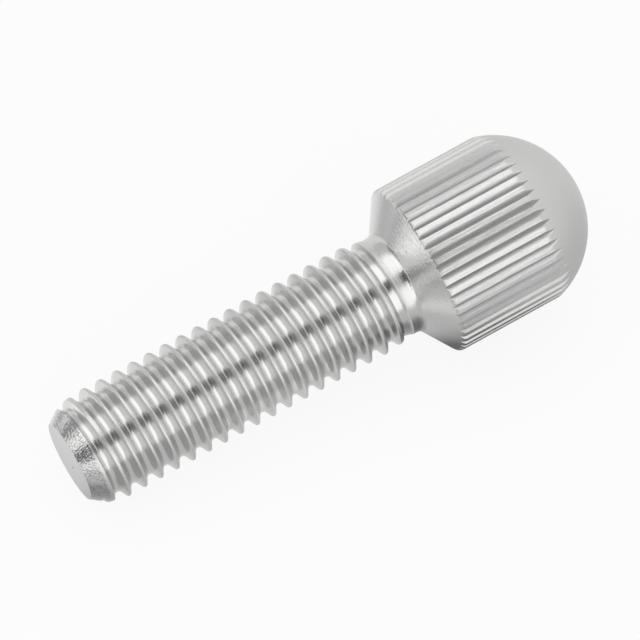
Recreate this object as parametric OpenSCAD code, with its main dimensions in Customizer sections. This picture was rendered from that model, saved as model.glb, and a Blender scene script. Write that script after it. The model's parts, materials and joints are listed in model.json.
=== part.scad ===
// Knurled thumb screw, turned from one bar: a round-ended head with a straight knurl,
// a cone shoulder, a plain neck and a rolled right-hand thread with a chamfered tip.
// The screw lies along +X with its head raised, as it comes to rest on a flat surface.

/* [Thread] */
// Nominal diameter of the thread
thread_d = 8; // [7:0.1:9]
// Distance from one crest to the next
thread_pitch = 1.25; // [1:0.05:1.5]
// How much the crests stay under the nominal diameter
crest_allowance = 0.18; // [0:0.01:0.24]
// Height of the rounding on each crest
crest_rounding = 0.055; // [0.03:0.005:0.08]
// Height of the rounding at the bottom of each groove
root_rounding = 0.05; // [0.03:0.005:0.08]
// Turn about the axis from the underside of the lying screw to the start of the thread
thread_turn = 49; // [0:1:359]
// Length over which the last crests sink to the neck
runout_length = 2.6; // [1.5:0.1:4]
// Length over which the last groove fills up to the neck
groove_end_length = 1.2; // [0.6:0.1:2]

/* [Shank] */
// Length from the tip face to the shoulder
shank_length = 25.4; // [16:0.1:40]
// Length of the plain neck between the end of the thread and the shoulder
neck_length = 0.5; // [0.5:0.05:2]

/* [Tip] */
// Diameter of the flat face at the tip
tip_face_d = 5.7; // [4.5:0.1:6]
// Angle between the chamfer and the axis
tip_angle = 36; // [30:1:45]
// Distance from the tip face to the first crest of full height
lead_length = 2.45; // [2:0.05:3.5]
// Angle between the axis and the slight taper of the crests behind the chamfer
lead_angle = 12; // [5:1:15]

/* [Head] */
// Diameter over the ridges of the knurl
head_d = 12.3; // [11:0.1:18]
// Length of the cylinder that carries the knurl
knurl_length = 7.7; // [4:0.1:15]
// Angle between the shoulder and the axis
shoulder_angle = 55.5; // [40:0.5:65]
// Radius of the hollow corner between the neck and the shoulder
shoulder_fillet = 0.7; // [0.1:0.05:0.75]
// How much the radius of the dome is larger than that of the head
dome_margin = 0.24; // [0.05:0.01:1.5]

/* [Knurl] */
// Distance from one ridge to the next around the head
knurl_pitch = 0.79; // [0.7:0.01:1.2]
// Depth of the grooves
knurl_depth = 0.26; // [0.1:0.01:0.3]
// Angle between the two sides of a groove
knurl_angle = 90; // [70:5:90]

/* [Steps of the curves] */
// Flat steps in one turn of the thread
thread_steps = 28; // [18:2:36]
// Straight steps in the hollow corner of the shoulder
fillet_steps = 6; // [3:1:10]

/* [Hidden] */
$fn = 128;

// metric thread: 60 degree flanks, and the widths of crest and groove are equal at pitch_r
flank_angle = 30;
crest_r = (thread_d - crest_allowance) / 2;
pitch_r = (thread_d - 0.6495 * thread_pitch) / 2;
root_r = (thread_d - 1.2269 * thread_pitch) / 2;
// the thread is rolled on a blank of its pitch diameter, which shows as the neck
neck_r = pitch_r;

// places along the axis, counted from the tip face
head_r = head_d / 2;
neck_start = shank_length - neck_length;
runout_start = neck_start - runout_length;
shoulder_end = shank_length + (head_r - neck_r) / tan(shoulder_angle);
dome_base = shoulder_end + knurl_length;
dome_r = head_r + dome_margin;
dome_centre = dome_base - sqrt(dome_r ^ 2 - head_r ^ 2);
dome_top = dome_centre + dome_r;

// the last crests end just below the neck, so that the two surfaces cross cleanly
runout_sink = 0.03;
runout_r = neck_r - runout_sink;

// V grooves of the knurl
knurl_count = round(PI * head_d / knurl_pitch);
groove_root_r = head_r - knurl_depth;
groove_slope = tan(knurl_angle / 2);

// the screw rests on its first full crest and on the two ridges beside its lowest groove
first_crest = thread_turn / 360 * thread_pitch;
skipped_turns = ceil((lead_length - first_crest) / thread_pitch);
contact_crest = first_crest + skipped_turns * thread_pitch;
ridge_drop = (groove_root_r * groove_slope ^ 2
    + sqrt(head_r ^ 2 * (1 + groove_slope ^ 2) - (groove_root_r * groove_slope) ^ 2))
    / (1 + groove_slope ^ 2);
rest_tilt = atan((ridge_drop - crest_r) / (shoulder_end - contact_crest));
rest_lift = crest_r * cos(rest_tilt) - contact_crest * sin(rest_tilt);
tip_reach = tip_face_d / 2 * sin(rest_tilt);
head_reach = dome_centre * cos(rest_tilt) + dome_r;

// distance along the axis from the middle of a crest to its flank, at a given radius
function flank_offset(r) = thread_pitch / 4 - (r - pitch_r) * tan(flank_angle);

// one pitch of the thread, from the middle of a groove to the next: [place, radius]
function thread_profile() = let (
        middle = thread_pitch / 2,
        crest_edge_r = crest_r - crest_rounding,
        root_edge_r = root_r + root_rounding,
        crest_edge = flank_offset(crest_edge_r),
        root_edge = flank_offset(root_edge_r)
    ) [
        [0, root_r],
        [middle - root_edge, root_edge_r],
        [middle - crest_edge, crest_edge_r],
        [middle, crest_r],
        [middle + crest_edge, crest_edge_r],
        [middle + root_edge, root_edge_r]
    ];

// radius of a profile point after the run-out has lowered the crests towards the neck
function lowered(r, z) = let (share = min(1, max(0, (z - runout_start) / runout_length)))
    min(r, crest_r + (runout_r - crest_r) * share);

// a solid rod that carries the thread: a strip of the profile wound round the axis,
// closed at each end by a fan from the axis
module thread_rod(start, turns) {
    profile = thread_profile();
    sides = len(profile);
    last = turns * thread_steps;
    rings = last + thread_steps;
    function point(j, k) = let (
            z = start + thread_pitch * j / thread_steps + profile[k][0],
            r = lowered(profile[k][1], z),
            turn = 360 * j / thread_steps
        ) [r * cos(turn), r * sin(turn), z];
    // the end of the profile is the start of the profile one turn on
    function at(j, k) = k == sides ? at(j + thread_steps, 0) : j * sides + k;
    bottom = (rings + 1) * sides;
    top = bottom + 1;
    points = [
        for (j = [0 : rings], k = [0 : sides - 1]) point(j, k),
        [0, 0, start],
        [0, 0, start + thread_pitch * rings / thread_steps]
    ];
    wall = [
        for (j = [0 : last - 1], k = [0 : sides - 1]) each [
            [at(j, k), at(j, k + 1), at(j + 1, k)],
            [at(j, k + 1), at(j + 1, k + 1), at(j + 1, k)]
        ]
    ];
    bottom_fan = [
        for (j = [0 : thread_steps - 1]) [bottom, at(j, 0), at(j + 1, 0)],
        for (k = [0 : sides - 1]) [bottom, at(0, k + 1), at(0, k)]
    ];
    top_fan = [
        for (j = [last : rings - 1]) [top, at(j + 1, 0), at(j, 0)],
        for (k = [0 : sides - 1]) [top, at(last, k), at(last, k + 1)]
    ];
    polyhedron(points, concat(wall, bottom_fan, top_fan));
}

// half section of the room that the thread may fill: the tip face, the chamfer and then
// the slight taper that the first crests follow
module thread_room() {
    tip_r = tip_face_d / 2;
    taper_start_r = crest_r - lead_length * tan(lead_angle);
    chamfer_end = (taper_start_r - tip_r) / (tan(tip_angle) - tan(lead_angle));
    polygon([
        [0, 0],
        [tip_r, 0],
        [tip_r + chamfer_end * tan(tip_angle), chamfer_end],
        [taper_start_r + dome_base * tan(lead_angle), dome_base],
        [0, dome_base]
    ]);
}

module thread() {
    turns_below = 2;
    turns = turns_below + ceil(neck_start / thread_pitch);
    intersection() {
        thread_rod(first_crest - (turns_below + 0.5) * thread_pitch, turns);
        rotate_extrude()
            thread_room();
    }
}

// half section of the neck, the shoulder and the head: the neck starts at the bottom of
// the thread as a cone, which the last groove runs out on
module head_section() {
    corner = shoulder_fillet * tan(shoulder_angle / 2);
    fillet = [
        for (i = [0 : fillet_steps]) let (turn = shoulder_angle * i / fillet_steps) [
            neck_r + shoulder_fillet * (1 - cos(turn)),
            shank_length - corner + shoulder_fillet * sin(turn)
        ]
    ];
    cone_start = neck_start - groove_end_length;
    polygon(concat(
        [[0, cone_start], [root_r - runout_sink, cone_start], [neck_r, neck_start]],
        fillet,
        [[head_r, shoulder_end], [head_r, dome_base], [0, dome_base]]
    ));
    intersection() {
        translate([0, dome_centre])
            circle(r = dome_r);
        translate([0, dome_base])
            square(dome_r);
    }
}

// the straight knurl: V grooves that run out through the shoulder and the dome
module knurl_grooves() {
    outside_r = head_r + knurl_depth;
    half_width = (outside_r - groove_root_r) * groove_slope;
    for (i = [0 : knurl_count - 1])
        rotate([0, 0, 360 * i / knurl_count])
            translate([0, 0, shank_length])
                linear_extrude(height = dome_top - shank_length)
                    polygon([
                        [groove_root_r, 0],
                        [outside_r, -half_width],
                        [outside_r, half_width]
                    ]);
}

module head() {
    difference() {
        rotate_extrude()
            head_section();
        knurl_grooves();
    }
}

// one turned piece, laid down at rest with its origin under the middle of its box
module thumb_screw() {
    color("gainsboro")
        translate([(tip_reach - head_reach) / 2, 0, rest_lift])
            rotate([0, 90 - rest_tilt, 0])
                union() {
                    thread();
                    head();
                }
}

thumb_screw();
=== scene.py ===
# %% [markdown]
# # A knurled thumb screw
# The real screw is turned from one bar of stainless steel. A plain thumb screw has a rolled
# thread with a chamfered tip, a short neck, a cone shoulder, and a round-ended head with a
# straight knurl to grip. This lesson models that one piece as one closed mesh, and then
# gives each surface the finish that its tool left: rolled, turned, knurled and tumbled.
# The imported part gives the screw's place and size, and everything here is built around it.

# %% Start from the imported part
import json
import math

import bmesh
import bpy
from mathutils import Matrix, Vector


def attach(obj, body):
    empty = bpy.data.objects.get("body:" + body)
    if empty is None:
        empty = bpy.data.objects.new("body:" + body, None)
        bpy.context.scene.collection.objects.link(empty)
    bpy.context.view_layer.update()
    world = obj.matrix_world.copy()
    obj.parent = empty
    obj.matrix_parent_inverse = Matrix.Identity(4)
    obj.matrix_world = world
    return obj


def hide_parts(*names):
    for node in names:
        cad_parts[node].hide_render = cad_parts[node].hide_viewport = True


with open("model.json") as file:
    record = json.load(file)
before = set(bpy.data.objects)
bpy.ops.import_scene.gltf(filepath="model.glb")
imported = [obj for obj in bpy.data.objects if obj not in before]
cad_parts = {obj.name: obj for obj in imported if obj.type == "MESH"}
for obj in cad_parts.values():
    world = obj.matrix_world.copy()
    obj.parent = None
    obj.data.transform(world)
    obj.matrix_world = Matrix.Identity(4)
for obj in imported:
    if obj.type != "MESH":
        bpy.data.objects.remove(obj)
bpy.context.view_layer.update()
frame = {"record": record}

# %% [markdown]
# ## The camera
# The camera looks down on the lying screw from in front of its tip, at arm's length and
# through a long lens, so the thread shrinks only slightly towards the head. It is set by
# the direction that it looks from, by its distance and by how much of the scene it takes in.

# %% Place the camera
CAMERA_AZIMUTH = math.radians(-30.35)
CAMERA_ELEVATION = math.radians(57.05)
CAMERA_DISTANCE = 0.5
VIEW_WIDTH = 0.0435
VIEW_CENTRE = Vector((0.001204, 0.002383, 0.001728))


def direction(azimuth, elevation):
    """The direction towards an eye at that azimuth and elevation."""
    flat = math.cos(elevation)
    return Vector((math.sin(azimuth) * flat, -math.cos(azimuth) * flat, math.sin(elevation)))


def look_at(thing, place, target):
    """Puts a camera at a place and turns it towards a target."""
    turn = (place - target).to_track_quat("Z", "Y")
    thing.matrix_world = Matrix.Translation(place) @ turn.to_matrix().to_4x4()


camera = bpy.data.objects.new("camera", bpy.data.cameras.new("camera"))
bpy.context.scene.collection.objects.link(camera)
to_camera = direction(CAMERA_AZIMUTH, CAMERA_ELEVATION)
look_at(camera, VIEW_CENTRE + to_camera * CAMERA_DISTANCE, VIEW_CENTRE)
camera.data.sensor_width = 36
camera.data.lens = camera.data.sensor_width * CAMERA_DISTANCE / VIEW_WIDTH
camera.data.clip_start = 0.01
bpy.context.scene.camera = camera
print("the lens is", round(camera.data.lens), "mm long")

# %% [markdown]
# ## The screw's own sizes
# The screw is modelled upright in millimetres, with its tip face at height 0 and its axis
# along Z, because lathe work is easiest to think about that way. At the end it is laid down
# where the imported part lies. These are the sizes that a drawing of the screw would give. An
# R at the end of a name is a radius, and a SLOPE is how fast the radius grows with height.

# %% Sizes in millimetres
PITCH = 1.25
CREST_R = 3.91
ROOT_R = 3.285
# the radius at which a crest is as wide as the groove beside it
FLANK_MIDDLE_R = 3.505
# how fast a flank moves along the axis as the radius grows
FLANK_SLOPE = math.tan(math.radians(30))
# the angle from the underside of the lying screw to the start of the thread
THREAD_TURN = math.radians(49)

TIP_FACE_R = 2.85
TIP_SLOPE = math.tan(math.radians(36))
LEAD_SLOPE = math.tan(math.radians(12))
LEAD_LENGTH = 2.45

SHANK_LENGTH = 25.4
# the thread is rolled on a blank of this radius, and the neck is the bare blank
NECK_R = 3.594
NECK_LENGTH = 0.5
NECK_START = SHANK_LENGTH - NECK_LENGTH
RUNOUT_LENGTH = 2.6
GROOVE_END_LENGTH = 1.2

HEAD_R = 6.15
SHOULDER_SLOPE = math.tan(math.radians(55.5))
KNURL_LENGTH = 7.7
DOME_R = 6.39

SHOULDER_END = SHANK_LENGTH + (HEAD_R - NECK_R) / SHOULDER_SLOPE
DOME_BASE = SHOULDER_END + KNURL_LENGTH
DOME_CENTRE = DOME_BASE - math.sqrt(DOME_R**2 - HEAD_R**2)
DOME_TOP = DOME_CENTRE + DOME_R
print("the screw is", round(DOME_TOP, 2), "mm long")

# %% [markdown]
# ## Drawing a profile
# A bmesh is Blender's workbench for a mesh: it starts from a few points, and operators
# such as spin and bevel shape it. Lathe work starts from a profile, a line on the half-plane
# beside the axis. One helper draws the line with sharp corners, and another one rounds the
# corners that are named, because a bevel of a point gives an arc.

# %% Draw a profile and round its corners
AXIS = Vector((0, 0, 1))


def draw_profile(bm, points):
    """A line of edges through points given as (radius, height)."""
    corners = [bm.verts.new((r, 0, z)) for r, z in points]
    for a, b in zip(corners, corners[1:]):
        bm.edges.new((a, b))
    return corners


def point_at(bm, r, z):
    """The point of a profile that lies nearest to a radius and a height."""
    return min(bm.verts, key=lambda v: math.hypot(v.co.x - r, v.co.z - z))


def round_corners(bm, places, reach, segments):
    """Rounds corners of a profile: each arc starts that far before its corner."""
    bmesh.ops.bevel(bm, geom=[point_at(bm, r, z) for r, z in places], affect="VERTICES",
                    offset=reach, segments=segments, profile=0.5, material=-1)


trial = bmesh.new()
draw_profile(trial, [(0, 0), (1, 0), (1, 1)])
round_corners(trial, [(1, 0)], reach=0.2, segments=3)
print("a line with one rounded corner has", len(trial.verts), "points")
trial.free()

# %% [markdown]
# ## One pitch of the thread
# A metric thread is a V groove with sides at 60 degrees. Rolling leaves its crests and its
# roots rounded. The profile of one pitch runs from the middle of one groove to the middle
# of the next, drawn with sharp corners first. Each corner is then rounded, and each flank
# is cut in three, so that the smooth shading of the corners doesn't spread over the flank.

# %% Draw one pitch
CREST_REACH = 0.06
ROOT_REACH = 0.175
ROUNDING_SEGMENTS = 3
FLANK_CUTS = 2


def flank_offset(radius):
    """Distance along the axis from the middle of a crest to its flank."""
    return PITCH / 4 - (radius - FLANK_MIDDLE_R) * FLANK_SLOPE


def pitch_profile(bm):
    """The profile of one pitch, with its crest half-way up."""
    crest, root, middle = flank_offset(CREST_R), flank_offset(ROOT_R), PITCH / 2
    roots = [(ROOT_R, middle - root), (ROOT_R, middle + root)]
    crests = [(CREST_R, middle - crest), (CREST_R, middle + crest)]
    draw_profile(bm, [(ROOT_R, 0), roots[0], *crests, roots[1], (ROOT_R, PITCH)])
    flanks = [e for e in bm.edges if e.calc_length() > CREST_R - ROOT_R]
    bmesh.ops.subdivide_edges(bm, edges=flanks, cuts=FLANK_CUTS)
    round_corners(bm, roots, ROOT_REACH, ROUNDING_SEGMENTS)
    round_corners(bm, crests, CREST_REACH, ROUNDING_SEGMENTS)


trial = bmesh.new()
pitch_profile(trial)
print("one pitch has", len(trial.verts), "points")
trial.free()

# %% [markdown]
# ## Winding the thread
# Spin turns a profile round an axis, and its dvec moves each step along that axis, so a
# spin of one turn that climbs one pitch makes one turn of the thread. The turns are all
# alike, so the first is copied up the axis. Each turn ends where the next one starts, and
# merging doubles welds them. The winding starts two turns below the tip and goes on past
# the start of the neck, because both its ends are steps, which are cut off later.

# %% Wind the thread
THREAD_STEPS = 96
TURNS_BELOW = 2
THREAD_TOP = NECK_START + 0.05
MERGE = 1e-5


def everything(bm):
    """All points, edges and faces of a bmesh."""
    return bm.verts[:] + bm.edges[:] + bm.faces[:]


def copy_points(bm, geom):
    """Duplicates part of a bmesh and gives the points of the copy."""
    copied = bmesh.ops.duplicate(bm, geom=geom)["geom"]
    return [g for g in copied if isinstance(g, bmesh.types.BMVert)]


def wind_thread():
    """The thread as an open surface of many turns."""
    bm = bmesh.new()
    pitch_profile(bm)
    # a crest stands at the angle 0 at this height, and the profile has its crest half-way up
    first_crest = THREAD_TURN / math.tau * PITCH
    start = first_crest - (TURNS_BELOW + 0.5) * PITCH
    bmesh.ops.translate(bm, verts=bm.verts, vec=AXIS * start)
    bmesh.ops.spin(bm, geom=bm.verts[:] + bm.edges[:], cent=(0, 0, 0), axis=AXIS,
                   dvec=AXIS * (PITCH / THREAD_STEPS), angle=math.tau,
                   steps=THREAD_STEPS, use_merge=False)
    one_turn = everything(bm)
    turns = math.ceil((THREAD_TOP - start) / PITCH)
    for turn in range(1, turns + 1):
        bmesh.ops.translate(bm, verts=copy_points(bm, one_turn), vec=AXIS * (turn * PITCH))
    bmesh.ops.remove_doubles(bm, verts=bm.verts, dist=MERGE)
    return bm


thread = wind_thread()
print("the winding has", len(thread.faces), "faces")

# %% [markdown]
# ## Where the thread ends at the neck
# Towards the neck the rolling dies let go: the crests sink to the bare diameter of the
# blank, and the last groove gets shallower until it is gone. Every point of the winding
# keeps its height, and only its distance from the axis changes, so a short function of
# height does it. Its two limits, a falling ceiling and a rising floor, are blended softly,
# as rolled metal flows.

# %% Let the thread run out
RUNOUT_START = NECK_START - RUNOUT_LENGTH
RUNOUT_SINK = 0.03
CEILING_R = CREST_R + 0.1
BLEND = 0.03


def soft_max(a, b, width):
    """The larger of two values, with the corner between them rounded."""
    return (a + b + math.hypot(a - b, width)) / 2


def run_out(radius, height):
    """The distance from the axis of a thread point after the run-out."""
    if height >= NECK_START:
        return NECK_R
    share = max(0, (height - RUNOUT_START) / RUNOUT_LENGTH)
    ceiling = CEILING_R + (NECK_R - RUNOUT_SINK - CEILING_R) * share
    floor = NECK_R - (NECK_R - ROOT_R) * (NECK_START - height) / GROOVE_END_LENGTH
    radius = -soft_max(-radius, -ceiling, BLEND)
    return soft_max(radius, floor, BLEND)


for vert in thread.verts:
    radius = math.hypot(vert.co.x, vert.co.y)
    scale = run_out(radius, vert.co.z) / radius
    vert.co.x *= scale
    vert.co.y *= scale
print("the run-out ends at the neck,", NECK_R, "mm from the axis")

# %% [markdown]
# ## Closing the winding
# Bisect cuts a mesh with a plane and can throw away what lies on one side. Two cuts leave
# flat ends, and a face fills each of them, so the winding becomes a solid rod. A Boolean
# works on objects, so the finished bmesh is put into the scene as one.

# %% Cut the ends and close them
ROD_BOTTOM = -0.6


def cut_flat(bm, height, keep_above):
    """Cuts a bmesh square to the axis and keeps one side."""
    bmesh.ops.bisect_plane(bm, geom=everything(bm), dist=MERGE,
                           plane_co=AXIS * height, plane_no=AXIS,
                           clear_inner=keep_above, clear_outer=not keep_above)


def put_in_scene(bm, name):
    """Makes an object of a bmesh, which is then freed."""
    mesh = bpy.data.meshes.new(name)
    bm.to_mesh(mesh)
    bm.free()
    made = bpy.data.objects.new(name, mesh)
    bpy.context.scene.collection.objects.link(made)
    print(name, "has", len(mesh.polygons), "faces")
    return made


cut_flat(thread, ROD_BOTTOM, keep_above=True)
cut_flat(thread, THREAD_TOP, keep_above=False)
open_edges = [e for e in thread.edges if e.is_boundary]
bmesh.ops.holes_fill(thread, edges=open_edges, sides=0)
bmesh.ops.recalc_face_normals(thread, faces=thread.faces)
rod = put_in_scene(thread, "thread_rod")

# %% [markdown]
# ## The shape of the tip
# Before the thread was rolled, the bar's end was turned to a chamfer behind a flat face,
# and the first crests are lower because the blank is thinner there. A lathe shape with that
# outline holds all that the screw may fill near the tip, and beyond the tip it clears the
# thread on every side. It is cut into narrow sides and close rings, so that the surfaces
# that it leaves on the screw are made of small faces, which shade well.

# %% Turn the shape that the tip is cut to
TIP_SIDES = 144
SLOPE_RINGS = 9
CLEARANCE = 1
TAPER_START_R = CREST_R - LEAD_LENGTH * LEAD_SLOPE
CHAMFER_END = (TAPER_START_R - TIP_FACE_R) / (TIP_SLOPE - LEAD_SLOPE)
CHAMFER_END_R = TIP_FACE_R + CHAMFER_END * TIP_SLOPE


def spin_round(bm, sides):
    """Turns a profile all the way round the axis and closes the seam."""
    bmesh.ops.spin(bm, geom=bm.verts[:] + bm.edges[:], cent=(0, 0, 0), axis=AXIS,
                   angle=math.tau, steps=sides, use_merge=True)
    bmesh.ops.remove_doubles(bm, verts=bm.verts, dist=MERGE)
    bmesh.ops.recalc_face_normals(bm, faces=bm.faces)


def tip_outline():
    """All the room that the thread may fill, as an object."""
    bm = bmesh.new()
    clear_r = CREST_R + CLEARANCE
    taper_end = (clear_r - TAPER_START_R) / LEAD_SLOPE
    top = THREAD_TOP + CLEARANCE
    line = draw_profile(bm, [
        (0, 0), (TIP_FACE_R, 0), (CHAMFER_END_R, CHAMFER_END),
        (CREST_R + CLEARANCE * LEAD_SLOPE, LEAD_LENGTH + CLEARANCE),
        (clear_r, taper_end), (clear_r, top), (0, top)])
    slopes = [bm.edges.get(line[1:3]), bm.edges.get(line[2:4])]
    bmesh.ops.subdivide_edges(bm, edges=slopes, cuts=SLOPE_RINGS - 1)
    spin_round(bm, TIP_SIDES)
    return put_in_scene(bm, "tip_outline")


print("the chamfer is", round(CHAMFER_END, 2), "mm long")

# %% [markdown]
# ## Cutting the tip
# A lathe tool takes away what sticks out of its outline. A Boolean that keeps what the rod
# and the outline share does the same, and it cuts the winding crests cleanly. Its result is
# read back into a bmesh, where points that fall together are merged.

# %% Keep what the rod and the outline share
def keep_shared(piece, cutter):
    """Keeps what a piece and a cutter share, and removes both objects."""
    boolean = piece.modifiers.new("shared", "BOOLEAN")
    boolean.operation = "INTERSECT"
    boolean.solver = "EXACT"
    boolean.object = cutter
    ready = piece.evaluated_get(bpy.context.evaluated_depsgraph_get())
    bm = bmesh.new()
    bm.from_mesh(ready.to_mesh())
    for used in (piece, cutter):
        bpy.data.objects.remove(used)
    bmesh.ops.remove_doubles(bm, verts=bm.verts, dist=MERGE)
    return bm


screw = keep_shared(rod, tip_outline())
print("with its tip cut, the thread has", len(screw.faces), "faces")

# %% [markdown]
# ## One groove of the head
# The head repeats 49 times round its axis, once for each groove of the knurl, so one slice
# is modelled and copied. Half a slice is enough at first. Its outline, from the neck over
# the cone and the knurled cylinder to the middle of the dome, is spun through a thin wedge.
# The hollow corner at the neck and the soft corners of the knurled part are rounded in the
# outline, before the spin.

# %% Spin half a slice of the head
KNURL_COUNT = 49
HALF_SLICE = math.pi / KNURL_COUNT
HALF_STEPS = 4
SHOULDER_FILLET = 0.7
FILLET_SEGMENTS = 6
SHOULDER_CORNER = 0.16
DOME_CORNER = 0.14
CORNER_SEGMENTS = 3
DOME_STEPS = 34
WALL_RINGS = 10
JOINT_GAP = 0.05


def half_slice():
    """A thin wedge of the head's surface, without its groove."""
    bm = bmesh.new()
    line = draw_profile(bm, [
        (NECK_R, THREAD_TOP + JOINT_GAP), (NECK_R, SHANK_LENGTH),
        (HEAD_R, SHOULDER_END), (HEAD_R, DOME_BASE)])
    # the dome is an arc about its own centre, and it ends on the axis
    arc = math.asin(HEAD_R / DOME_R)
    bmesh.ops.spin(bm, geom=[line[-1]], cent=AXIS * DOME_CENTRE, axis=(0, -1, 0),
                   angle=arc, steps=DOME_STEPS, use_merge=False)
    point_at(bm, 0, DOME_TOP).co = AXIS * DOME_TOP
    straight = [bm.edges.get(line[1:3]), bm.edges.get(line[2:4])]
    bmesh.ops.subdivide_edges(bm, edges=straight, cuts=WALL_RINGS - 1)
    fillet_reach = SHOULDER_FILLET * math.tan(math.atan(SHOULDER_SLOPE) / 2)
    round_corners(bm, [(NECK_R, SHANK_LENGTH)], fillet_reach, FILLET_SEGMENTS)
    round_corners(bm, [(HEAD_R, SHOULDER_END)], SHOULDER_CORNER, CORNER_SEGMENTS)
    round_corners(bm, [(HEAD_R, DOME_BASE)], DOME_CORNER, CORNER_SEGMENTS)
    bmesh.ops.spin(bm, geom=bm.verts[:] + bm.edges[:], cent=(0, 0, 0), axis=AXIS,
                   angle=HALF_SLICE, steps=HALF_STEPS, use_merge=False)
    bmesh.ops.remove_doubles(bm, verts=bm.verts, dist=MERGE)
    return bm


head = half_slice()
print("half a slice has", len(head.faces), "faces")

# %% [markdown]
# ## Cutting the groove
# A knurling wheel presses V grooves, and the ridges between them stay wider than they are.
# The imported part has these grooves 90 degrees wide, and here they are drawn as narrow as
# they look from near by, with sides at 38 degrees to the radius. The middle of the groove
# lies on the slice's first side, so one slanting plane makes its wall: bisect cuts the half
# slice there and throws away the groove. The cut's edges, closed by a straight edge along
# the groove's bottom, are filled with one flat face. A mirror makes the other half. Doubles
# are merged and normals are recalculated after it, because a mirror turns a shape inside
# out.

# %% Cut, fill and mirror
KNURL_DEPTH = 0.26
GROOVE_ROOT_R = HEAD_R - KNURL_DEPTH
GROOVE_SLOPE = math.tan(math.radians(38))


def cut_groove(bm):
    """Cuts half a groove into half a slice and gives it its wall."""
    wall_normal = Vector((GROOVE_SLOPE, -1, 0)).normalized()
    cut = bmesh.ops.bisect_plane(
        bm, geom=everything(bm), dist=MERGE, plane_co=(GROOVE_ROOT_R, 0, 0),
        plane_no=wall_normal, clear_outer=True)["geom_cut"]
    rim = [g for g in cut if isinstance(g, bmesh.types.BMEdge)]
    # only the two ends of the cut belong to a single one of its edges
    points = [v for e in rim for v in e.verts]
    rim.append(bm.edges.new([v for v in points if points.count(v) == 1]))
    bmesh.ops.edgeloop_fill(bm, edges=rim)


def mirror_slice(bm):
    """Adds the mirrored half, across the plane through the groove's middle."""
    bmesh.ops.mirror(bm, geom=everything(bm), axis="Y", matrix=Matrix.Identity(4),
                     merge_dist=MERGE)
    bmesh.ops.remove_doubles(bm, verts=bm.verts, dist=MERGE)
    bmesh.ops.recalc_face_normals(bm, faces=bm.faces)


cut_groove(head)
mirror_slice(head)
print("one whole slice has", len(head.faces), "faces")

# %% [markdown]
# ## Softening the knurl's edges
# A pressed knurl has no knife edges: the ridges are slightly rounded where the metal was
# pushed up, and the bottom of each groove is as round as the wheel's worn teeth. The edges
# to round are those with a groove wall on one side, and bevel rounds them all at once. A
# wall is known by its many corners, because every other face has only a few.

# %% Round the ridges and the bottom of the groove
RIDGE_ROUNDING = 0.045
RIDGE_SEGMENTS = 3
FEW_CORNERS = 8


def is_wall(face):
    """True for the two flat sides of the groove."""
    return len(face.verts) > FEW_CORNERS


def soften_groove(bm):
    """Rounds every edge of the groove's walls."""
    edges = [e for e in bm.edges if any(is_wall(f) for f in e.link_faces)]
    bmesh.ops.bevel(bm, geom=edges, affect="EDGES", offset=RIDGE_ROUNDING,
                    segments=RIDGE_SEGMENTS, profile=0.5, material=-1, clamp_overlap=True)


print("the slice has", sum(is_wall(f) for f in head.faces), "groove walls")
soften_groove(head)
print("with its edges rounded, a slice has", len(head.faces), "faces")

# %% [markdown]
# ## The whole head
# The knurl is the same all round, because the wheel presses every groove alike. So the
# slice is copied round the axis, once for each groove, and the copies are welded where
# their sides meet.

# %% Copy the slice round the axis
def copy_round(bm, count):
    """Repeats what a bmesh holds round the axis."""
    first = everything(bm)
    for i in range(1, count):
        bmesh.ops.rotate(bm, verts=copy_points(bm, first), cent=(0, 0, 0),
                         matrix=Matrix.Rotation(math.tau * i / count, 3, "Z"))
    bmesh.ops.remove_doubles(bm, verts=bm.verts, dist=MERGE)


copy_round(head, KNURL_COUNT)
print("the head has", len(head.faces), "faces")

# %% [markdown]
# ## One closed piece
# The real screw has no joint between its head and its thread. The flat end that closed the
# thread is taken off again, and the head's mesh is added to the thread's. Two rings now
# face each other a hair apart on the neck, and bridge_loops joins them with a narrow band,
# although one has more points than the other.

# %% Join the head to the thread
def join_head(bm, other):
    """Adds the head to the thread and closes the band between them."""
    loose = bpy.data.meshes.new("head")
    other.to_mesh(loose)
    other.free()
    cap = [f for f in bm.faces if all(v.co.z > THREAD_TOP - MERGE for v in f.verts)]
    bmesh.ops.delete(bm, geom=cap, context="FACES")
    bm.from_mesh(loose)
    bpy.data.meshes.remove(loose)
    rings = [e for e in bm.edges if e.is_boundary]
    bmesh.ops.bridge_loops(bm, edges=rings)
    bmesh.ops.recalc_face_normals(bm, faces=bm.faces)


join_head(screw, head)
left_open = sum(not e.is_manifold for e in screw.edges)
print("the screw has", len(screw.faces), "faces and", left_open, "open edges")

# %% [markdown]
# ## Which finish goes where
# Each surface shows the tool that made it, so each gets a material of its own. The faces
# are sorted by where they lie: the tip face is at height 0, the chamfer is where the tip
# was cut, the rolled thread reaches to the neck and has crests of a duller finish, and the
# cone, the knurl and the dome follow. Small margins keep the roundings with the surface
# that they belong to.

# %% Tell the surfaces apart
NEAR = 0.004
CREST_DEPTH = 0.02
ROLLED_END = NECK_START - 0.3
# the neck's finish ends in the hollow corner, this high and this far outside the neck
NECK_END = SHANK_LENGTH - 0.2
NECK_MARGIN = 0.3
# the cone is inside the grooves by this much, or faces towards the tip by this much
CONE_MARGIN = 0.1
TIPWARD_NORMAL = -0.6


def on_chamfer(r, z):
    """True where the chamfer cut the thread."""
    return abs(r - TIP_FACE_R - z * TIP_SLOPE) < NEAR and z < LEAD_LENGTH


def on_dome(centre):
    """True on the dome's round surface, and false in the grooves that run out in it."""
    from_centre = (centre - AXIS * DOME_CENTRE).length
    return centre.z > DOME_BASE and abs(from_centre - DOME_R) < NEAR


def thread_finish(r, z):
    """The crests lie just inside the surface that limits them."""
    limit = min(run_out(CREST_R, z), TAPER_START_R + z * LEAD_SLOPE)
    return "crest" if r > limit - CREST_DEPTH else "rolled"


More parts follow.
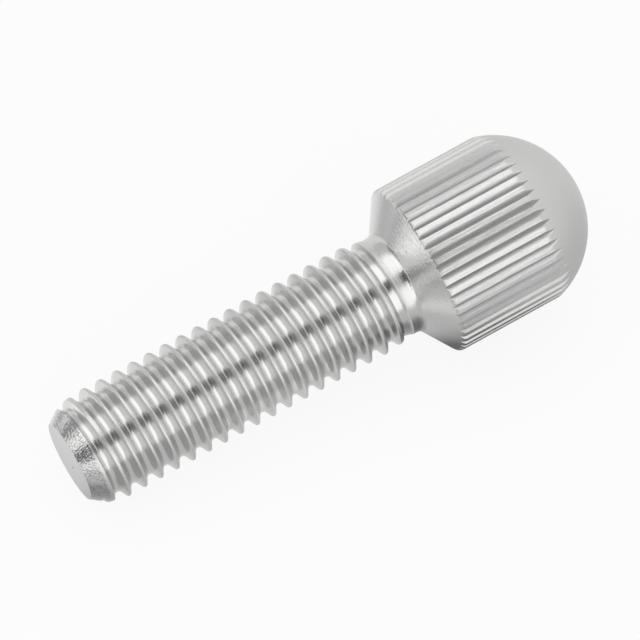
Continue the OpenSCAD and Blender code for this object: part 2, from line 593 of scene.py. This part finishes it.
def finish_of(face):
    """The name of the finish that a face gets."""
    centre = face.calc_center_median()
    r, z = math.hypot(centre.x, centre.y), centre.z
    if z < NEAR:
        return "tip_face"
    if on_chamfer(r, z):
        return "chamfer"
    if z < ROLLED_END:
        return thread_finish(r, z)
    if z < NECK_END and r < NECK_R + NECK_MARGIN:
        return "neck"
    if on_dome(centre):
        return "dome"
    if r < GROOVE_ROOT_R - CONE_MARGIN or face.normal.z < TIPWARD_NORMAL:
        return "shoulder"
    return "knurl" if r > HEAD_R - RIDGE_ROUNDING else "groove"


print("the rolled finish ends", round(ROLLED_END, 2), "mm from the tip face")

# %% [markdown]
# ## Marking faces and edges
# A face holds the number of its material, so the finishes get a fixed order. Turned metal
# is smooth along its curves and has true edges where two cuts meet: an edge with a sharp
# angle is marked as sharp, and everything else is shaded smooth.

# %% Sort the faces and mark the edges
FINISHES = ["tip_face", "chamfer", "rolled", "crest", "neck", "shoulder", "knurl", "groove",
            "dome"]
SHARP_ANGLE = math.radians(32)

counts = dict.fromkeys(FINISHES, 0)
for face in screw.faces:
    finish = finish_of(face)
    counts[finish] += 1
    face.smooth = True
    face.material_index = FINISHES.index(finish)
for edge in screw.edges:
    edge.smooth = edge.calc_face_angle(0) < SHARP_ANGLE
print("faces of each finish:", counts)

# %% [markdown]
# ## Laying the screw down
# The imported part's tip face is given as a place and a direction, and they say how the
# screw lies. The mesh itself is turned and moved, so that the object stays at the origin
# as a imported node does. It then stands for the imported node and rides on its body.

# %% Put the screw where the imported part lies
MILLIMETRE = 0.001

tip_mount = next(m for m in frame["record"]["mounts"] if m["name"] == "tip_face")
along = -Vector(tip_mount["axis"]).normalized()
sideways = Vector((0, 1, 0))
PLACE = Matrix((sideways.cross(along), sideways, along)).transposed().to_4x4()
PLACE.translation = Vector(tip_mount["pos_m"])

bmesh.ops.transform(screw, matrix=PLACE @ Matrix.Scale(MILLIMETRE, 4), verts=screw.verts)
thumb_screw = put_in_scene(screw, "turned_screw")
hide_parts("thumb_screw")
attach(thumb_screw, "root")
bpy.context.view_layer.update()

# %% [markdown]
# ## Writing shader maths as Python
# A material is a graph of nodes. Graph adds any node from its type, its settings and its
# inputs, and Wire wraps an output, so that sums on it add the Math nodes. The rest of the
# lesson can then be read as plain arithmetic.

# %% Two small classes for materials
class Wire:
    """An output of a node. Arithmetic on it adds Math nodes."""

    def __init__(self, graph, socket):
        self.graph = graph
        self.socket = socket

    def maths(self, operation, *values):
        return self.graph.node("ShaderNodeMath", {"operation": operation}, values)

    def __add__(self, other):
        return self.maths("ADD", self, other)

    def __radd__(self, other):
        return self.maths("ADD", other, self)

    def __sub__(self, other):
        return self.maths("SUBTRACT", self, other)

    def __rsub__(self, other):
        return self.maths("SUBTRACT", other, self)

    def __mul__(self, other):
        return self.maths("MULTIPLY", self, other)

    def __rmul__(self, other):
        return self.maths("MULTIPLY", other, self)

    def __truediv__(self, other):
        return self.maths("DIVIDE", self, other)

    def __rtruediv__(self, other):
        return self.maths("DIVIDE", other, self)

    def __pow__(self, exponent):
        return self.maths("POWER", self, exponent)

    def __rpow__(self, base):
        return self.maths("POWER", base, self)

    def smooth_step(self, low, high):
        """0 below low, 1 above high, and a soft step between them."""
        return self.graph.node("ShaderNodeMapRange", {"interpolation_type": "SMOOTHSTEP"},
                               {"Value": self, "From Min": low, "From Max": high})


class Graph:
    """A node tree that is filled by one method."""

    def __init__(self, tree):
        self.tree = tree
        tree.nodes.clear()

    def node(self, kind, settings=None, inputs=(), output=0):
        """Adds a node. Inputs are given in order or by name, as numbers or as wires."""
        made = self.tree.nodes.new(kind)
        for key, value in (settings or {}).items():
            setattr(made, key, value)
        pairs = inputs.items() if isinstance(inputs, dict) else enumerate(inputs)
        for key, value in pairs:
            if isinstance(value, Wire):
                self.tree.links.new(value.socket, made.inputs[key])
            else:
                made.inputs[key].default_value = value
        return Wire(self, made.outputs[output]) if made.outputs else None

    def outputs(self, kind, names, inputs=()):
        """Adds a node and gives several of its outputs."""
        first = self.node(kind, None, inputs)
        return [Wire(self, first.socket.node.outputs[name]) for name in names]


def new_material(name):
    """An empty material, and the graph that fills it."""
    material = bpy.data.materials.new(name)
    material.use_nodes = True
    return material, Graph(material.node_tree)


# %% [markdown]
# ## Where a point lies on the screw
# The marks of turning follow the screw's axis, but Object coordinates follow the room. A
# Mapping node in its Texture mode undoes how the screw was laid down and scaled, and gives
# back the millimetres of the lathe. A height along the axis, and a radius and an angle
# round it, then place a mark as a lathe tool would.

# %% Coordinates on the lathe
def lathe_point(graph):
    """Object coordinates turned back into upright millimetres."""
    seen = graph.node("ShaderNodeTexCoord", output="Object")
    return graph.node("ShaderNodeMapping", {"vector_type": "TEXTURE"}, {
        "Vector": seen, "Location": PLACE.translation, "Rotation": PLACE.to_euler(),
        "Scale": (MILLIMETRE, MILLIMETRE, MILLIMETRE)})


def split(graph, vector):
    """The X, Y and Z of a vector."""
    return graph.outputs("ShaderNodeSeparateXYZ", "XYZ", [vector])


def noise(graph, vector, scale, detail):
    """Soft random values about 0.5. Detail is how many finer layers are added."""
    return graph.node("ShaderNodeTexNoise", None, {
        "Vector": vector, "Scale": scale, "Detail": detail})


def turning_marks(graph, point, around, outward, along, detail):
    """Noise stretched on the lathe: the smaller a number, the longer the marks that way."""
    x, y, height = split(graph, point)
    radius = (x * x + y * y) ** 0.5
    angle = y.maths("ARCTAN2", y, x)
    stretched = graph.node("ShaderNodeCombineXYZ", None, [
        angle * around, radius * outward, height * along])
    return noise(graph, stretched, 1, detail)


print("the zero of the lathe lies at", *(round(v, 4) for v in PLACE.translation))

# %% [markdown]
# ## Bare steel
# All the finishes are the same steel, a metal with a pale and very slightly warm colour.
# They differ in how rough they are and in the marks on them. So each finish is one short
# function that works out a roughness and a height, and a Bump node turns the height into
# slopes. The marks are a few thousandths of a millimetre high, too fine to be modelled.

# %% The steel that all finishes share
STEEL_COLOUR = (0.62, 0.62, 0.615, 1)
MATT_COLOUR = (0.6, 0.6, 0.595, 1)
MICROMETRE = 1e-6


def steel(graph, roughness, height, depth, colour=STEEL_COLOUR):
    """Closes a graph as bare steel. Depth is the height of its marks in micrometres."""
    bump = graph.node("ShaderNodeBump", None, {
        "Strength": 1.0, "Distance": depth * MICROMETRE, "Height": height})
    shader = graph.node("ShaderNodeBsdfPrincipled", None, {
        "Base Color": colour, "Metallic": 1.0, "Roughness": roughness, "Normal": bump})
    graph.node("ShaderNodeOutputMaterial", None, {"Surface": shader})


def mix_colours(graph, factor, plain, other):
    """The plain colour, and the other one where the factor is 1."""
    return graph.node("ShaderNodeMix", {"data_type": "RGBA"}, {
        "Factor": factor, "A": plain, "B": other}, "Result")


def add_finish(name, make):
    """Gives the screw its next finish, which a function makes."""
    material, graph = new_material("steel_" + name)
    make(graph, lathe_point(graph))
    slots = thumb_screw.data.materials
    slots.append(material)
    print(material.name, "is finish", len(slots), "of", len(FINISHES))


print("bare steel has the colour", STEEL_COLOUR[:3])

# %% [markdown]
# ## The flat face of the tip
# The end of the bar was cut flat and then tumbled, so it is matt with a fine grain. Near
# its middle is one small nick, three times as long as it is wide. It is smaller than the
# faces of the mesh, so it is drawn: the distance from its middle is measured along it and
# across it, and a soft step turns that into a dark and sunken oval.

# %% Finish the tip face
NICK_PLACE = (0.206, -0.378)
NICK_RADIUS = 0.11
NICK_STRETCH = 3
NICK_TURN = math.radians(29)
NICK_COLOUR = (0.2, 0.2, 0.2, 1)


def nick(graph, point):
    """1 in the nick of the tip face, and fading to 0 at its edge."""
    x, y, _ = split(graph, point)
    x, y = x - NICK_PLACE[0], y - NICK_PLACE[1]
    along_nick = (x * math.cos(NICK_TURN) + y * math.sin(NICK_TURN)) / NICK_STRETCH
    across_nick = y * math.cos(NICK_TURN) - x * math.sin(NICK_TURN)
    away = (along_nick**2 + across_nick**2) ** 0.5
    return 1 - away.smooth_step(NICK_RADIUS * 0.4, NICK_RADIUS)


def tip_face_finish(graph, point):
    sunk = nick(graph, point)
    grain = noise(graph, point, scale=6, detail=4)
    colour = mix_colours(graph, sunk * 0.9, MATT_COLOUR, NICK_COLOUR)
    steel(graph, 0.42 + grain * 0.08, grain - sunk * 4, depth=4, colour=colour)


add_finish("tip_face", tip_face_finish)

# %% [markdown]
# ## The chamfer
# The chamfer is bright where the tool cut it, and rolling has dented and speckled it since.
# Soft dents break its reflections up, fine rings follow the turning, and a soft step on a
# second noise picks out the dark specks. The dents are kept broad and plain, because finer
# ones would scatter the light and wipe out the chamfer's bright and dark bands.

# %% Finish the chamfer
SPECK_COLOUR = (0.3, 0.3, 0.3, 1)
SPECK_LEVELS = (0.45, 0.65)


def chamfer_finish(graph, point):
    rings = turning_marks(graph, point, around=3, outward=9, along=9, detail=3)
    dents = noise(graph, point, scale=6.5, detail=1)
    specks = noise(graph, point, scale=8, detail=1).smooth_step(*SPECK_LEVELS)
    colour = mix_colours(graph, specks * 0.5, STEEL_COLOUR, SPECK_COLOUR)
    steel(graph, 0.14 + dents * 0.1, rings * 0.3 + dents, depth=26, colour=colour)


add_finish("chamfer", chamfer_finish)

# %% [markdown]
# ## The rolled thread
# Rolling dies burnish the flanks and the roots as they press them, so these are among the
# smoothest faces of the screw, with faint streaks that run round it as the dies did. Noise
# that changes slowly round the axis and fast across it gives such streaks.

# %% Finish the flanks and the roots
def rolled_finish(graph, point):
    streaks = turning_marks(graph, point, around=4, outward=12, along=8, detail=3)
    steel(graph, 0.15 + streaks * 0.12, streaks, depth=9)


add_finish("rolled", rolled_finish)

# %% [markdown]
# ## The crests
# The metal that flows up between the dies meets last at the crest and is hardly burnished,
# so the crests are duller than the flanks. Their grain has no direction, so plain noise is
# enough.

# %% Finish the crests
def crest_finish(graph, point):
    grain = noise(graph, point, scale=6, detail=2)
    steel(graph, 0.3 + grain * 0.12, grain, depth=16)


add_finish("crest", crest_finish)

# %% [markdown]
# ## The neck
# The neck is the bare blank, turned and never rolled, with fine rings round it. The marks
# change fastest along the axis, which draws them out into rings.

# %% Finish the neck
def neck_finish(graph, point):
    rings = turning_marks(graph, point, around=2, outward=9, along=14, detail=3)
    steel(graph, 0.22 + rings * 0.1, rings, depth=6)


add_finish("neck", neck_finish)

# %% [markdown]
# ## The shoulder
# The cone is turned as bright as the chamfer, and handling has left it slightly uneven.
# Its rings and its soft dents are added together in one height, kept low, because a bright
# cone looks hammered as soon as they are high.

# %% Finish the shoulder
def shoulder_finish(graph, point):
    rings = turning_marks(graph, point, around=2, outward=7, along=7, detail=2)
    dents = noise(graph, point, scale=5, detail=1)
    steel(graph, 0.12 + dents * 0.12, rings + dents, depth=9)


add_finish("shoulder", shoulder_finish)

# %% [markdown]
# ## The knurl's ridges
# The wheel rolls along the head and squeezes the ridges up, which leaves lines along them.
# The marks change fast round the axis and slowly along it, so they come out as lines. They
# are the deepest marks on the screw, since a knurl is there to be rough.

# %% Finish the ridges
def knurl_finish(graph, point):
    lines = turning_marks(graph, point, around=60, outward=10, along=0.6, detail=2)
    grain = noise(graph, point, scale=5, detail=2)
    steel(graph, 0.26 + grain * 0.15, lines + grain * 0.5, depth=30)


add_finish("knurl", knurl_finish)

# %% [markdown]
# ## The knurl's grooves
# The grooves are pressed by the wheel's teeth, and their steel is painted slightly darker
# than the rest, as painted shade for the dark lines that the deep grooves show. A darker
# colour is enough for that, because the walls are too narrow to show a pattern.

# %% Finish the grooves
# painted shade: the grooves' steel is darker than the rest, for the dark lines along them
GROOVE_SHADE_COLOUR = (0.53, 0.53, 0.525, 1)


def groove_finish(graph, point):
    grain = noise(graph, point, scale=6, detail=2)
    # the darker colour is painted shade in the grooves
    steel(graph, 0.3 + grain * 0.15, grain, depth=8, colour=GROOVE_SHADE_COLOUR)


add_finish("groove", groove_finish)

# %% [markdown]
# ## The dome
# The dome was tumbled matt like the tip face, so it shows the room only as a soft shade. A
# fine grain in its roughness and height keeps it from looking painted.

# %% Finish the dome
def dome_finish(graph, point):
    grain = noise(graph, point, scale=9, detail=4)
    steel(graph, 0.5 + grain * 0.1, grain, depth=3, colour=MATT_COLOUR)


add_finish("dome", dome_finish)

# %% [markdown]
# ## Soft panels of light
# Bright metal shows the room round it, so a studio for it is planned as strips of light and
# dark that lie along the screw. A strip is given by the two angles that it spans over the
# screw, which are counted from the back, over the top, to the front. One soft panel hangs
# overhead and one stands in front, and the camera looks through the gap between them. Area
# lamps make the panels, because a lamp shows in the metal and lights the table as well.

# %% Hang the panels
PANEL_DISTANCE = 0.45
# places along the screw in metres, from beyond its tip to beyond its head
PANEL_START = -1.1
PANEL_END = 0.24
PANEL_RADIANCE = 0.55
OVERHEAD = (52, 103)
GAP = (103, 131)
FRONT = (131, 180)


def strip_place(angles, distance):
    """The middle and the width of a flat strip that spans two angles over the screw."""
    start, end = (math.radians(angle) for angle in angles)
    middle = (start + end) / 2
    towards = Vector((0, math.cos(middle), math.sin(middle)))
    return towards * distance, 2 * distance * math.tan((end - start) / 2)


def face_strip(thing, place, x_start, x_end):
    """Turns a panel or card to the screw, with its long side along it."""
    lengthways = Vector((1, 0, 0))
    back = place.normalized()
    turn = Matrix((lengthways.cross(back), lengthways, back)).transposed()
    middle = lengthways * ((x_start + x_end) / 2)
    thing.matrix_world = Matrix.Translation(place + middle) @ turn.to_4x4()


def soft_panel(name, angles):
    """A long panel of light that spans two angles over the screw."""
    place, width = strip_place(angles, PANEL_DISTANCE)
    lamp = bpy.data.lights.new(name, "AREA")
    lamp.shape = "RECTANGLE"
    lamp.size, lamp.size_y = width, PANEL_END - PANEL_START
    lamp.energy = PANEL_RADIANCE * math.pi * lamp.size * lamp.size_y
    panel = bpy.data.objects.new(name, lamp)
    bpy.context.scene.collection.objects.link(panel)
    face_strip(panel, place, PANEL_START, PANEL_END)
    panel.visible_camera = False
    print(name, "is", round(width, 2), "m wide")


soft_panel("panel_overhead", OVERHEAD)
soft_panel("panel_front", FRONT)

# %% [markdown]
# ## Grey cards
# Between bright strips metal needs dark ones, or its shape is lost. Cards that only the
# metal sees hang a little nearer than the panels. They close the gap: nearly black along
# the thread, with a lighter window that the plain neck and the ridges mirror, and dark
# again beyond it. A pale grey card stands at the back. Two dark cards carry on beyond the
# tip, for the flanks and the cone to mirror, because these face that way.

# %% Hang the cards
CARD_DISTANCE = 0.44
BACK = (10, 52)
TIP_OVERHEAD = (97, 155)
TIP_BACK = (-9, 33)
WINDOW_START = 0.02
WINDOW_END = 0.17
GAP_START = -0.5
BACK_START = -0.4
TIP_START = -2.0


def glow(graph, brightness):
    """An evenly glowing surface, which is pure white in the picture at 1."""
    return graph.node("ShaderNodeEmission", None, {
        "Color": (1, 1, 1, 1), "Strength": brightness})


def grey_card(name, angles, brightness, x_start, x_end):
    """A grey card that spans two angles over the screw, between two places along it."""
    place, width = strip_place(angles, CARD_DISTANCE)
    bm = bmesh.new()
    bmesh.ops.create_grid(bm, x_segments=1, y_segments=1, size=0.5)
    bmesh.ops.scale(bm, vec=(width, x_end - x_start, 1), verts=bm.verts)
    card = put_in_scene(bm, name)
    face_strip(card, place, x_start, x_end)
    material, graph = new_material(name)
    graph.node("ShaderNodeOutputMaterial", None, {"Surface": glow(graph, brightness)})
    card.data.materials.append(material)
    card.visible_camera = card.visible_diffuse = card.visible_shadow = False


grey_card("card_gap", GAP, 0.08, GAP_START, WINDOW_START)
grey_card("card_window", GAP, 0.75, WINDOW_START, WINDOW_END)
grey_card("card_gap_head", GAP, 0.15, WINDOW_END, PANEL_END)
grey_card("card_back", BACK, 0.7, BACK_START, PANEL_END)
grey_card("card_gap_tip", TIP_OVERHEAD, 0.12, TIP_START, GAP_START)
grey_card("card_back_tip", TIP_BACK, 0.3, TIP_START, BACK_START)

# %% [markdown]
# ## The table
# The screw lies on a white table. Its lower side mirrors the table close by, which the
# screw itself shades and which is never evenly lit. So in reflections, and only there, the
# table is darker in front of the screw and in a few soft round patches, and lighter beyond
# the tip. Each patch is 1 at its middle and fades to 0 at its reach.

# %% Shade the table for the metal
# in metres: dark in front of the first place, and plain behind the second one
FRONT_EDGE = (-0.005, 0.002)
FRONT_DARKNESS = 0.35
SHADE = 0.15
TIP_GLOW = 1.8
TIP_PATCH = (-0.046, 0.014, 0.03)
# the middle and the reach of each patch in metres, and how much darkness it adds
DARK_PATCHES = [
    ((0.008, -0.009, 0.007), 0.6),  # in front of the shoulder
    ((-0.022, -0.005, 0.006), 0.4),  # just beyond the tip
    ((0.012, -0.003, 0.008), 0.9),  # under the knurl
    ((-0.007, 0.02, 0.014), 0.4),  # behind the thread
    ((-0.028, 0.024, 0.014), 0.8),  # behind the tip
    ((-0.005, -0.007, 0.005), -0.35),  # in front of the thread, where it is lighter
]


def mix_shaders(graph, factor, plain, other):
    """The plain shader, and the other one where the factor is 1."""
    return graph.node("ShaderNodeMixShader", None, [factor, plain, other])


def table_glow(graph, is_glossy):
    """White for the camera, and lighter or darker in places for the metal."""
    x, y, _ = split(graph, graph.node("ShaderNodeTexCoord", output="Object"))

    def patch(patch_x, patch_y, reach):
        away = ((x - patch_x) ** 2 + (y - patch_y) ** 2) ** 0.5
        return 1 - away.smooth_step(reach * 0.3, reach)

    darkness = (1 - y.smooth_step(*FRONT_EDGE)) * FRONT_DARKNESS
    for place, amount in DARK_PATCHES:
        darkness = darkness + patch(*place) * amount
    at_tip = is_glossy * patch(*TIP_PATCH)
    white = mix_shaders(graph, at_tip, glow(graph, 1), glow(graph, TIP_GLOW))
    return mix_shaders(graph, is_glossy * darkness, white, glow(graph, SHADE))


print("the table has", len(DARK_PATCHES), "patches for the metal to mirror")

# %% [markdown]
# ## White ground
# For the camera the table has to be plain white and still keep a trace of the screw's
# shadow. Its paint is mixed with a white glow: rays from the camera and rays that leave
# metal or glass see nine parts of glow to one of paint, and all other rays see the paint
# alone. So the white comes from the table, and no more light falls on the screw for it.

# %% Set up the table
TABLE_SIZE = 6.0
TABLE_COLOUR = (0.8, 0.8, 0.8, 1)
GLOW_SHARE = 0.9
RAYS = ("Is Camera Ray", "Is Glossy Ray", "Is Transmission Ray")


def table_paint(graph):
    """White paint that glows for the camera and in reflections."""
    is_camera, is_glossy, is_transmission = graph.outputs("ShaderNodeLightPath", RAYS)
    paint = graph.node("ShaderNodeBsdfDiffuse", None, {"Color": TABLE_COLOUR})
    seen = is_camera * GLOW_SHARE + (is_glossy + is_transmission) * GLOW_SHARE
    mixed = mix_shaders(graph, seen, paint, table_glow(graph, is_glossy))
    graph.node("ShaderNodeOutputMaterial", None, {"Surface": mixed})


bm = bmesh.new()
bmesh.ops.create_grid(bm, x_segments=1, y_segments=1, size=TABLE_SIZE / 2)
table = put_in_scene(bm, "table")
white_table, graph = new_material("white_table")
table_paint(graph)
table.data.materials.append(white_table)

# %% [markdown]
# ## The room
# The room is white all round. What the camera and the metal see of it is full white, and
# what it sheds on the table's paint is a little less, so that the paint doesn't clip.

# %% Light the room
DIMMING = 0.3

world = bpy.data.worlds.new("white_room")
bpy.context.scene.world = world
world.use_nodes = True
graph = Graph(world.node_tree)
is_camera, is_glossy, is_transmission = graph.outputs("ShaderNodeLightPath", RAYS)
plain_ray = 1 - is_camera - is_glossy - is_transmission
background = graph.node("ShaderNodeBackground", None, {
    "Color": (1, 1, 1, 1), "Strength": 1 - plain_ray * DIMMING})
graph.node("ShaderNodeOutputWorld", None, {"Surface": background})
print("the room lights the table's paint with a strength of", 1 - DIMMING)

# %% Close the scene
bpy.context.scene.view_settings.view_transform = "Standard"
